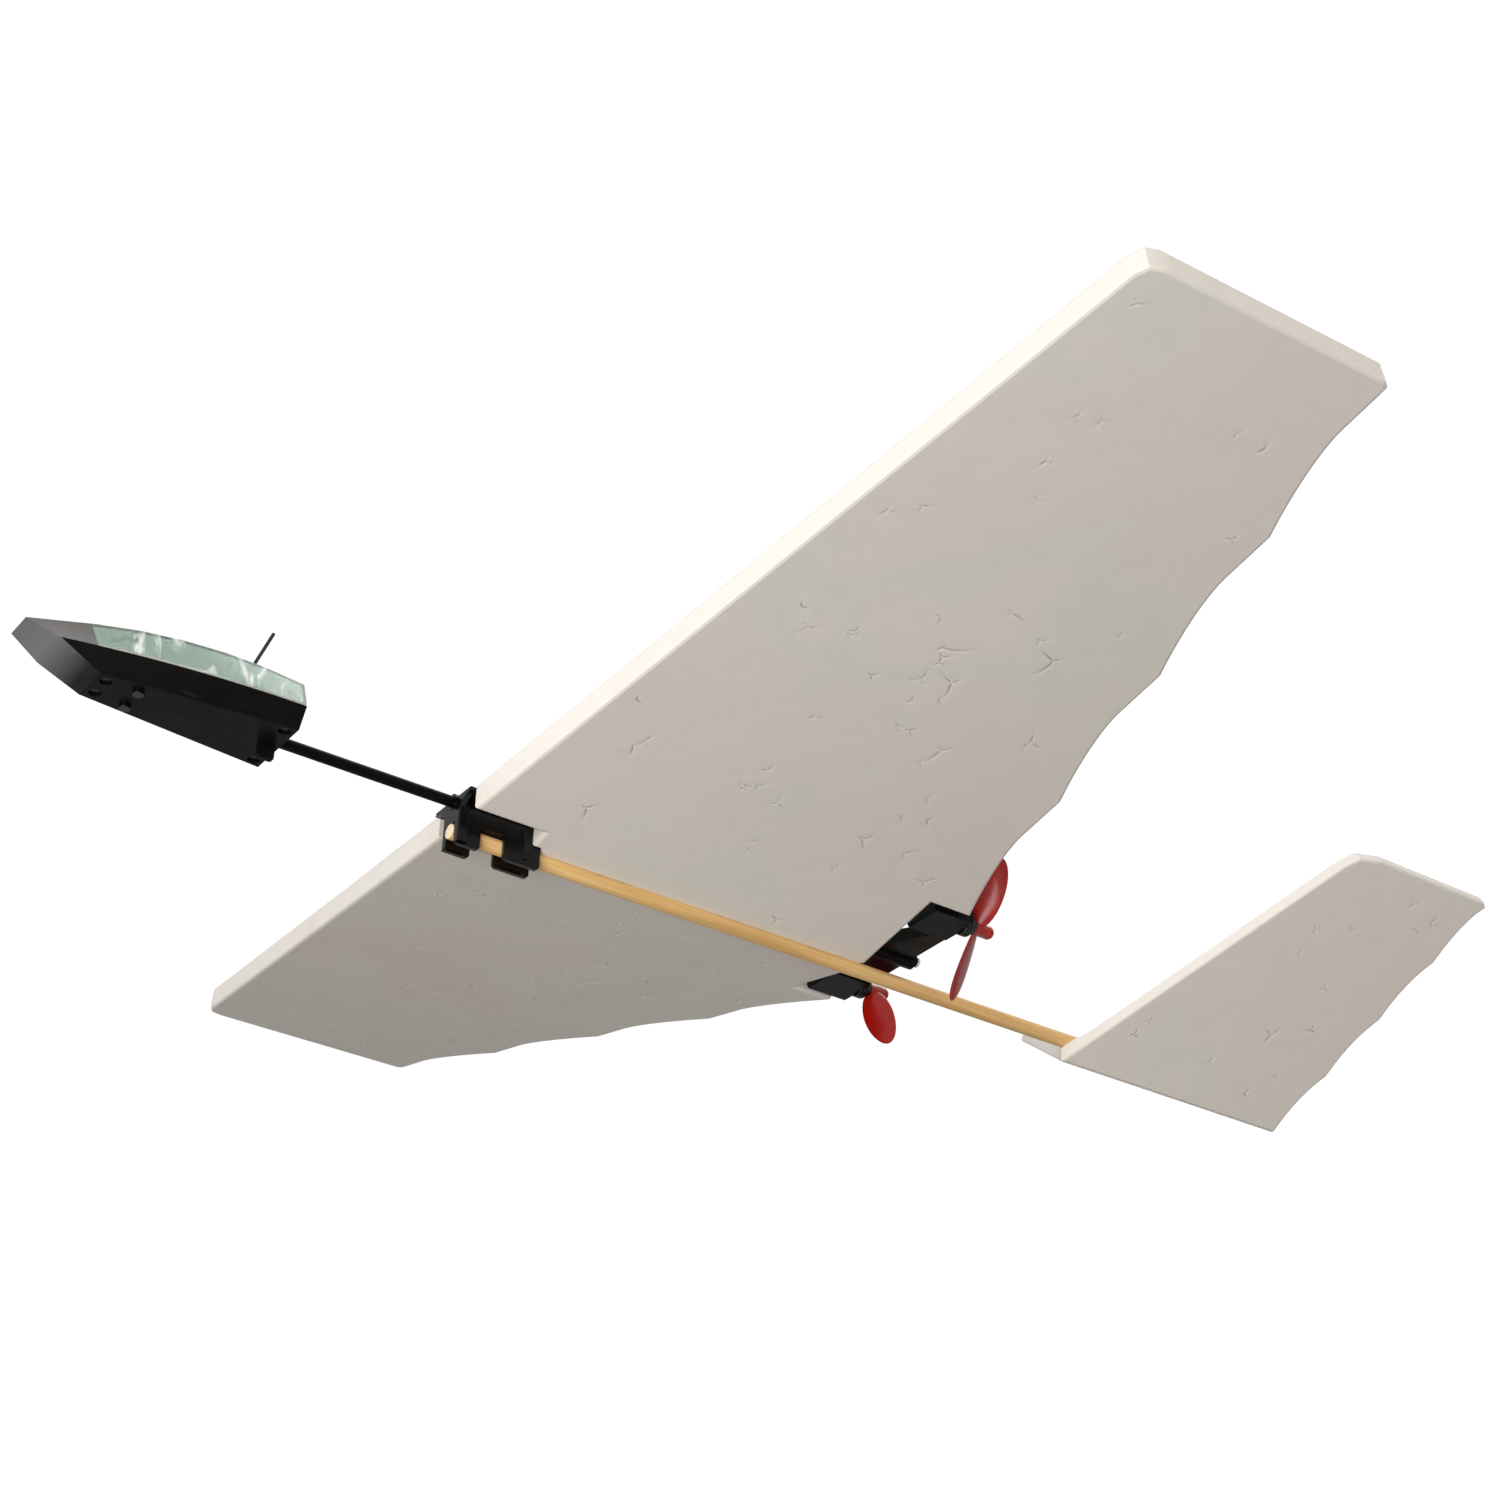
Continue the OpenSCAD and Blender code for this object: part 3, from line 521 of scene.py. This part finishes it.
def turned(name, nodes, profile, x=0.0, z=0.0, segments=64, marks=None):
    """A part turned on a lathe along Y. profile holds (radius, y) pairs; a radius of 0 closes an end."""
    points, rings = [], []
    for radius, y in profile:
        if radius == 0:
            rings.append([len(points)])
            points.append((x, y, z))
        else:
            rings.append(list(range(len(points), len(points) + segments)))
            points += [(x + radius * math.cos(2 * math.pi * k / segments), y,
                        z + radius * math.sin(2 * math.pi * k / segments)) for k in range(segments)]
    faces = []
    for a, b in zip(rings, rings[1:]):
        for k in range(segments):
            n = (k + 1) % segments
            if len(a) == 1:
                faces.append((a[0], b[k], b[n]))
            elif len(b) == 1:
                faces.append((a[k], b[0], a[n]))
            else:
                faces.append((a[k], b[k], b[n], a[n]))
    mesh = mesh_from(name, points, faces)
    if marks:
        layer = mesh.attributes.new(marks[0], "FLOAT", "POINT")
        layer.data.foreach_set("value", [1.0 if marks[1](p) else 0.0 for p in points])
    return new_piece(name, mesh, nodes)


# ---- Foam panels ----------------------------------------------------------------------------

WING_SPAN, WING_DIHEDRAL, WING_T, WING_Z = 310.0, 11.6, 9.5, 1.2
WING_FRONT, WING_SWEEP, WING_TIP = 0.8, 46.7, 94.5
WING_TE_ROOT, FRONT_NOTCH, FRONT_NOTCH_END = 188.5, 12.3, 30.0
CLIP_SLOT, CLIP_SLOT_END, REAR_NOTCH, REAR_NOTCH_Y = 4.3, 33.2, 42.3, 171.0
TAIL_SPAN, TAIL_ANGLE, TAIL_T, TAIL_Y = 121.0, 32.8, 5.2, 265.0
TAIL_SWEEP, TAIL_ROOT, TAIL_TIP = 63.0, 108.0, 67.0
SCALLOPS, SCALLOP_POINTS = 4, 22
SCALLOP_LEVEL, SCALLOP_POWER, TAIL_SCALLOP_POWER = 0.33, 1.45, 2.6
DOWEL_R, ROD_R, ROD_Z, ROD_REAR = 2.75, 2.0, 11.4, 196.0
DOWEL_LEN, CUT_DEPTH, FIT = 350.0, 0.3, 0.05
WING_EDGE, WING_UPRIGHT = 1.2, (46, 120)
TAIL_EDGE, TAIL_UPRIGHT, TAIL_SINK = 0.9, (2, 16), 0.3


def wing_outline():
    cos_d = math.cos(math.radians(WING_DIHEDRAL))
    slot, notch, rear = CLIP_SLOT / cos_d, FRONT_NOTCH / cos_d, REAR_NOTCH / cos_d
    front = lambda s: WING_FRONT + WING_SWEEP * s / WING_SPAN
    tip_rear = WING_FRONT + WING_SWEEP + WING_TIP
    line = [(FIT / 2, CLIP_SLOT_END), (slot, CLIP_SLOT_END), (slot, FRONT_NOTCH_END),
            (notch, FRONT_NOTCH_END), (notch, front(notch)), (WING_SPAN - 6, front(WING_SPAN - 6)),
            (WING_SPAN - 1.5, front(WING_SPAN) + 1.5), (WING_SPAN, front(WING_SPAN) + 6),
            (WING_SPAN, tip_rear - 2.4), (WING_SPAN - 1.6, tip_rear - 0.1)]
    step, drop = (WING_SPAN - rear) / SCALLOPS, (WING_TE_ROOT - tip_rear) / SCALLOPS
    for i in range(SCALLOPS):
        for j in range(SCALLOP_POINTS):
            u = j / SCALLOP_POINTS
            if i or j > 1:
                back = (max(0.0, u - SCALLOP_LEVEL) / (1 - SCALLOP_LEVEL)) ** SCALLOP_POWER
                line.append((WING_SPAN - (i + u) * step, tip_rear + (i + back) * drop))
    return line + [(rear, WING_TE_ROOT), (rear, REAR_NOTCH_Y), (FIT / 2, REAR_NOTCH_Y)]


def tail_outline():
    tip_rear = TAIL_Y + TAIL_SWEEP + TAIL_TIP
    line = [(FIT / 2, TAIL_Y), (TAIL_SPAN - 7.5, TAIL_Y + TAIL_SWEEP - 3.6),
            (TAIL_SPAN - 2.2, TAIL_Y + TAIL_SWEEP + 0.8), (TAIL_SPAN, TAIL_Y + TAIL_SWEEP + 11),
            (TAIL_SPAN, tip_rear - 2.2), (TAIL_SPAN - 1.6, tip_rear - 0.2)]
    step, drop = TAIL_SPAN / SCALLOPS, (tip_rear - TAIL_Y - TAIL_ROOT) / SCALLOPS
    points = SCALLOP_POINTS // 2
    for i in range(SCALLOPS):
        for j in range(points):
            u = j / points
            if i or j > 1:
                ahead = i + 1 - (1 - u) ** TAIL_SCALLOP_POWER
                line.append((TAIL_SPAN - (i + u) * step, tip_rear - ahead * drop))
    return line + [(FIT / 2, TAIL_Y + TAIL_ROOT)]


def spaced(line, step):
    """The closed line with its long stretches cut into equal steps."""
    made = []
    for a, b in zip(line, line[1:] + line[:1]):
        length = math.dist(a, b)
        parts = max(1, round(length / step)) if length > 1.6 * step else 1
        made += [(a[0] + (b[0] - a[0]) * k / parts, a[1] + (b[1] - a[1]) * k / parts) for k in range(parts)]
    return np.array(made)


def inset(line, depth):
    """The closed counter-clockwise line moved inwards."""
    ahead, behind = np.roll(line, -1, 0) - line, line - np.roll(line, 1, 0)
    normals = []
    for side in (behind, ahead):
        side = side / np.linalg.norm(side, axis=1)[:, None]
        normals.append(np.stack([-side[:, 1], side[:, 0]], 1))
    share = 1 + (normals[0] * normals[1]).sum(1)
    return line + (normals[0] + normals[1]) / share[:, None] * depth


def is_inside(points, line):
    """Which points lie inside the closed line, by crossings."""
    x, y = points[:, 0][:, None], points[:, 1][:, None]
    ax, ay = line[:, 0], line[:, 1]
    bx, by = np.roll(ax, -1), np.roll(ay, -1)
    slope = (bx - ax) / np.where(by == ay, 1e-9, by - ay)
    return (((ay > y) != (by > y)) & (x < slope * (y - ay) + ax)).sum(1) % 2 == 1


def gap_to(points, line):
    """Each point's distance from the closed line."""
    a = line[None]
    along = np.roll(line, -1, 0)[None] - a
    off = points[:, None] - a
    t = np.clip((off * along).sum(2) / (along ** 2).sum(2), 0, 1)
    return np.linalg.norm(off - along * t[..., None], axis=2).min(1)


CREASE_STEP = 0.8
# Each row: offset from the crease line, groove depth and painted shade.
GROOVE = ((0, 0.34, 1.0), (0.42, 0.06, 0.0), (-0.42, 0.06, 0.0), (1.1, -0.07, 0.0), (-1.3, -0.02, 0.0))


def crease_lines(draw, line, count, sizes):
    """Small Y-shaped creases: lists of (centre-line points, strength)."""
    low, high = line.min(0), line.max(0)
    made = []
    while len(made) < count:
        centre = np.array([draw.uniform(low[0], high[0]), draw.uniform(low[1], high[1])])
        reach = sizes[0] * (sizes[1] / sizes[0]) ** (draw.random() ** 1.8)
        if not is_inside(centre[None], line)[0] or gap_to(centre[None], line)[0] < reach * 0.5 + 3:
            continue
        heading, strength = draw.uniform(0, 2 * math.pi), draw.uniform(0.6, 1.0)
        branches = []
        for k in range(draw.choice((2, 3, 3))):
            angle = heading + k * 2 * math.pi / 3 + draw.uniform(-0.4, 0.4)
            turn = draw.uniform(-0.09, 0.09)
            length = reach * draw.uniform(0.35, 1.0) * (1.0 if k == 0 else 0.6)
            steps, point, path = max(3, int(length / CREASE_STEP)), centre.copy(), []
            for n in range(steps + 1):
                path.append((point.copy(), angle, 1 - n / steps))
                point = point + CREASE_STEP * np.array([math.cos(angle), math.sin(angle)])
                angle += turn + draw.uniform(-0.12, 0.12)
            branches.append(path)
        made.append((branches, strength))
    return made


def skin_points(draw, line, margin, grid, creases):
    """Points for one face of a panel, each with its groove depth and its painted crease shade.

    GROOVE holds a crease's cross-section: distance off its centre line, depth and painted shade.
    """
    pins, depth, dark = [], [], []
    for branches, strength in creases:
        for path in branches:
            for point, angle, fade in path:
                side = np.array([-math.sin(angle), math.cos(angle)])
                for off, down, shade in GROOVE:
                    pins.append(point + side * off)
                    depth.append(down * strength * (0.25 + 0.75 * fade))
                    dark.append(shade * strength * min(1.0, 1.6 * fade))
    low, high = line.min(0), line.max(0)
    hexes = []
    for row, y in enumerate(np.arange(low[1], high[1], grid * 0.866)):
        for x in np.arange(low[0] + (row % 2) * grid / 2, high[0], grid):
            hexes.append((x + draw.uniform(-0.2, 0.2) * grid, y + draw.uniform(-0.2, 0.2) * grid))
    hexes, pins = np.array(hexes), np.array(pins).reshape(-1, 2)
    hexes = hexes[is_inside(hexes, line)]
    hexes = hexes[gap_to(hexes, line) > margin]
    if len(pins):
        keep = is_inside(pins, line) & (gap_to(pins, line) > 0.6)
        pins, depth, dark = pins[keep], np.array(depth)[keep], np.array(dark)[keep]
        near = np.array([np.min(((pins - h) ** 2).sum(1)) for h in hexes])
        hexes = hexes[near > 1.5 ** 2]
    points = np.concatenate([pins, hexes])
    blank = np.zeros(len(hexes))
    return points, np.concatenate([depth, blank]), np.concatenate([dark, blank])


RING_STEP, SKIN_MARGIN, SKIN_GRID = 3.0, 1.6, 4.2


def pushed_out(point, axis_z, radius):
    """A point moved out of a round rod along Y."""
    dx, dz = point[0], point[2] - axis_z
    away = math.hypot(dx, dz)
    if away >= radius:
        return point
    if away < 1e-6:
        return (0.0, point[1], axis_z - radius)
    return (dx * radius / away, point[1], axis_z + dz * radius / away)


def foam_panel(node, outline, t, edge, angle, z0, upright, seed, creases, side, rods):
    """One foam panel with rounded edges, soft waves and creases.

    upright is how far from the root the walls stay upright, as (all the way, not at all).
    creases is ((count, sizes) below, (count, sizes) above); rods are the rods that press into the foam.
    """
    draw = random.Random(seed)
    ring = spaced(outline, RING_STEP)
    steps = [(edge + 0.9, 0.0)] + [(edge * (1 - math.sin(a)), edge * (1 - math.cos(a)))
                                   for a in (math.radians(45 * k) for k in range(3))]
    flat = [(ring if depth == 0 else inset(ring, depth), height) for depth, height in steps]
    loops = [(line, height) for line, height in flat] + [(line, t - height) for line, height in flat[::-1]]
    count = len(ring)
    points, dark, faces = [], [], []
    for line, height in loops:
        points += [(p[0], p[1], height) for p in line]
        dark += [0.0] * count
    for k in range(len(loops) - 1):
        for i in range(count):
            n = (i + 1) % count
            faces.append((k * count + i, k * count + n, (k + 1) * count + n, (k + 1) * count + i))
    inner = flat[0][0]
    for level, (number, sizes) in enumerate(creases):
        lines = crease_lines(draw, inner, number, sizes)
        extra, groove, shade = skin_points(draw, inner, SKIN_MARGIN, SKIN_GRID, lines)
        first = 0 if level == 0 else (len(loops) - 1) * count
        corners = [Vector(p) for p in np.concatenate([inner, extra])]
        verts, _, tris, origin, _, _ = delaunay_2d_cdt(corners, [], [list(range(count))], 1, 1e-4)
        room = gap_to(np.array([tuple(v) for v in verts]), inner)
        index = []
        for v, own, free in zip(verts, origin, room):
            own = own[0] if own else -1
            if 0 <= own < count:
                index.append(first + own)
                continue
            k = own - count
            swell = 0.16 * noise.noise(Vector((v.x / 34, v.y / 46, seed + 7.0 * level)))
            swell += 0.07 * noise.noise(Vector((v.x / 11, v.y / 15, seed + 3.0 + level)))
            down = swell * min(1.0, free / 9) + (groove[k] if own >= 0 else 0)
            index.append(len(points))
            points.append((v.x, v.y, down if level == 0 else t - down))
            dark.append(shade[k] if own >= 0 else 0.0)
        for tri in tris:
            faces.append([index[i] for i in (tri if level else reversed(tri))])
    cos_a, sin_a = math.cos(math.radians(angle)), math.sin(math.radians(angle))
    placed = []
    for s, y, h in points:
        w = 1 - min(1.0, max(0.0, (s - upright[0]) / (upright[1] - upright[0])))
        w = w * w * (3 - 2 * w)
        x = s * cos_a - h * sin_a * (1 - w)
        z = z0 + s * sin_a + h * (cos_a * (1 - w) + w / cos_a)
        point = (x, y, z)
        for axis_z, radius in rods:
            point = pushed_out(point, axis_z, radius)
        placed.append((side * max(point[0], FIT / 2), point[1], point[2]))
    mesh = mesh_from(node + "_foam", placed, faces)
    # Painted shade along the creases, darkest on their centre lines, for the foam material.
    layer = mesh.attributes.new("painted_crease_shade", "FLOAT", "POINT")
    layer.data.foreach_set("value", dark)
    return new_piece(node + "_foam", mesh, [node], 20)


def make_foam():
    dowel, rod = (0.0, DOWEL_R + FIT), (ROD_Z, ROD_R + FIT)
    above = (46, (2.5, 14))
    for node, side, seed, below in (("wing_port", 1, 11, (52, (2.5, 17))),
                                    ("wing_starboard", -1, 23, (72, (1.5, 11)))):
        foam_panel(node, wing_outline(), WING_T, WING_EDGE, WING_DIHEDRAL, WING_Z, WING_UPRIGHT, seed,
                   (below, above), side, (dowel, rod))
    tail_z = -(DOWEL_R - TAIL_SINK + TAIL_T) / math.cos(math.radians(TAIL_ANGLE))
    few = (14, (2, 10))
    for node, side, seed in (("tail_port", 1, 37), ("tail_starboard", -1, 41)):
        foam_panel(node, tail_outline(), TAIL_T, TAIL_EDGE, TAIL_ANGLE, tail_z, TAIL_UPRIGHT, seed,
                   (few, few), side, (dowel,))


# ---- Dowel, rod and turned pieces -----------------------------------------------------------

CAP_NOSE_R, CAP_BORE, CAP_COLLAR = 2.8, 0.55, 3.4
CAP_GROOVES = (0.7, 1.8)
GROOVE_CUT = ((0, 0), (0.28, 0.1), (0.28, 0.45), (0, 0.55))


def rounded(radius, y, into):
    """Profile points that round a turned part's corner; into is 1 at its front end and -1 at its rear."""
    made = [(radius - 0.5, y), (radius - 0.14, y + into * 0.12), (radius, y + into * 0.5)]
    return made if into > 0 else made[::-1]


def make_turned():
    end = DOWEL_LEN
    turned("dowel_turned", ["dowel"],
           [(0, 0), *rounded(DOWEL_R, 0, 1), (DOWEL_R, end * 0.33), (DOWEL_R, end * 0.66),
            *rounded(DOWEL_R, end, -1), (0, end)],
           marks=("cut_end", lambda p: p[1] < CUT_DEPTH or p[1] > end - CUT_DEPTH))
    for name in ("port", "starboard"):
        low, high = local_box("motor_cap_" + name)
        x, z, y0, y1 = (low.x + high.x) / 2, (low.z + high.z) / 2, low.y, high.y
        outer, inner, bore = (high.x - low.x) / 2, CAP_NOSE_R, CAP_BORE
        waist = y0 + CAP_COLLAR
        grooves = [(outer - down, y0 + start + along)
                   for start in CAP_GROOVES for down, along in GROOVE_CUT]
        turned("motor_cap_" + name + "_turned", ["motor_cap_" + name],
               [(bore, y0), (outer - 0.3, y0), (outer, y0 + 0.3)] + grooves +
               [(outer, waist - 0.5), (outer - 0.15, waist - 0.15), (outer - 0.5, waist),
                (inner + 0.25, waist), (inner, waist + 0.25), (inner, y1 - 0.5),
                (inner - 0.15, y1 - 0.15), (inner - 0.5, y1), (bore, y1), (bore, y0)], x, z)


# ---- Propellers -----------------------------------------------------------------------------

BLADE_ROOT, BLADE_STATIONS, BLADE_RING = 1.6, 30, 32
WIDEST, WIDEST_AT, PITCH_ROOT, PITCH_TWIST = 11.5, 0.47, 50, 12
ROOT_T, TIP_THINNING, TIP_START, CAMBER = 1.7, 1.05, 0.90, 0.22
PROP_R, HUB_R, HUB_BORE, HUB_TO_BLADE = 27.5, 2.5, 0.55, 2.6
PORT_TURN, STARBOARD_TURN = 33, 21


def blade_section(u, radius):
    """One section of a blade, at a share u of its reach: a cambered aerofoil turned to its pitch."""
    chord = WIDEST * math.sqrt(max(0.002, 1 - ((u - WIDEST_AT) / (1 - WIDEST_AT)) ** 2))
    closing = math.sqrt(max(0.0, 1 - max(0.0, (u - TIP_START) / 0.10) ** 2.4))
    thick = (ROOT_T - TIP_THINNING * u) * max(closing, 0.25)
    pitch = math.radians(PITCH_ROOT + PITCH_TWIST * u * u)
    made = []
    for k in range(BLADE_RING):
        a = 2 * math.pi * k / BLADE_RING
        c = chord / 2 * math.cos(a)
        edge = 1 - 0.35 * abs(math.cos(a)) ** 3
        camber = CAMBER * (1 - (2 * c / max(chord, 0.1)) ** 2) * min(1, u * 3) * closing
        h = thick / 2 * math.sin(a) * edge + camber
        made.append((c * math.cos(pitch) - h * math.sin(pitch), c * math.sin(pitch) + h * math.cos(pitch),
                     BLADE_ROOT + u * (radius - BLADE_ROOT)))
    return made


def make_propeller(node, side, turn):
    low, high = local_box("shaft_" + node.split("_")[1])
    x, z = (low.x + high.x) / 2, (low.z + high.z) / 2
    box_low, box_high = local_box(node)
    front, rear = box_low.y, box_high.y
    hub = HUB_R
    points, faces = [], []
    for flip in (0, math.pi):
        tilt = turn + flip
        base = len(points)
        for i in range(BLADE_STATIONS):
            share = i / (BLADE_STATIONS - 1)
            for px, py, pz in blade_section(math.sin(share * math.pi / 2) ** 0.9, PROP_R):
                qx = px * math.cos(tilt) + pz * math.sin(tilt)
                qz = pz * math.cos(tilt) - px * math.sin(tilt)
                points.append((x + side * qx, front + HUB_TO_BLADE + py, z + qz))
        for i in range(BLADE_STATIONS - 1):
            for k in range(BLADE_RING):
                a, b = base + i * BLADE_RING, base + (i + 1) * BLADE_RING
                n = (k + 1) % BLADE_RING
                faces.append((a + k, a + n, b + n, b + k))
        faces.append([base + k for k in range(BLADE_RING)])
        faces.append([base + (BLADE_STATIONS - 1) * BLADE_RING + k for k in range(BLADE_RING)])
    blades = mesh_from(node + "_blades", points, faces)
    new_piece(node + "_blades", blades, [node], 60)
    nose = rear - 0.8
    turned(node + "_hub", [node],
           [(HUB_BORE, front), (hub - 0.25, front), (hub, front + 0.3),
            (hub, nose - 2.6), (hub - 0.12, nose - 2.4),
            (hub - 0.12, nose - 2.1), (hub, nose - 1.9), (hub, nose - 0.5), (hub - 0.18, nose - 0.12),
            (hub - 0.5, nose + 0.02), (hub - 0.62, rear - 0.25), (hub - 0.9, rear), (0, rear)], x, z, 48)


# ---- Everything -----------------------------------------------------------------------------

HULL_ROUND, BELLY_ROUND = 0.22, 1.5


def belly(edge):
    """The long edges between the pod's flat bottom and its sides are rounder than the rest."""
    a, b = ((v.co - ZERO) / MM for v in edge.verts)
    is_low, is_long = max(a.z, b.z) < POD_BOTTOM + 0.6, abs(a.y - b.y) > 20
    is_outer = min(abs(a.x), abs(b.x)) > 7
    return BELLY_ROUND if is_low and is_long and is_outer else HULL_ROUND


def make_plastic():
    softened("pod_hull", HULL_ROUND, 3, pick=belly)
    for node, width in (("nose_bumper", 0.3), ("deck_frame", 0.12), ("front_clip", 0.4),
                        ("carrier_lower", 0.4), ("carrier_upper", 0.4), ("skid_fin", 0.25),
                        ("pod_screws", 0.1), ("clear_cover", 0.22),
                        ("battery", 0.7), ("battery_pad", 0.1), ("radio_shield", 0.25),
                        ("board_chips", 0.1), ("status_leds", 0.12), ("usb_socket", 0.12),
                        ("circuit_board", 0.1),
                        ("power_button", 0.35), ("link_button", 0.35), ("rod_end_cap", 0.2),
                        ("antenna", 0.12), ("motor_port", 0.2), ("motor_starboard", 0.2)):
        softened(node, width, 3 if width >= 0.3 else 2)


MATERIALS = {}


def main():
    make_camera()
    make_studio()
    MATERIALS.update(make_materials())
    make_floor()
    make_foam()
    make_turned()
    make_propeller("propeller_port", 1, math.radians(PORT_TURN))
    make_propeller("propeller_starboard", -1, math.radians(STARBOARD_TURN))
    make_plastic()
    for node, piece in frame["nodes"].items():
        if not piece.hide_render:
            piece.data.materials.clear()
            piece.data.materials.append(MATERIALS[SLOT_OF[node]])


main()
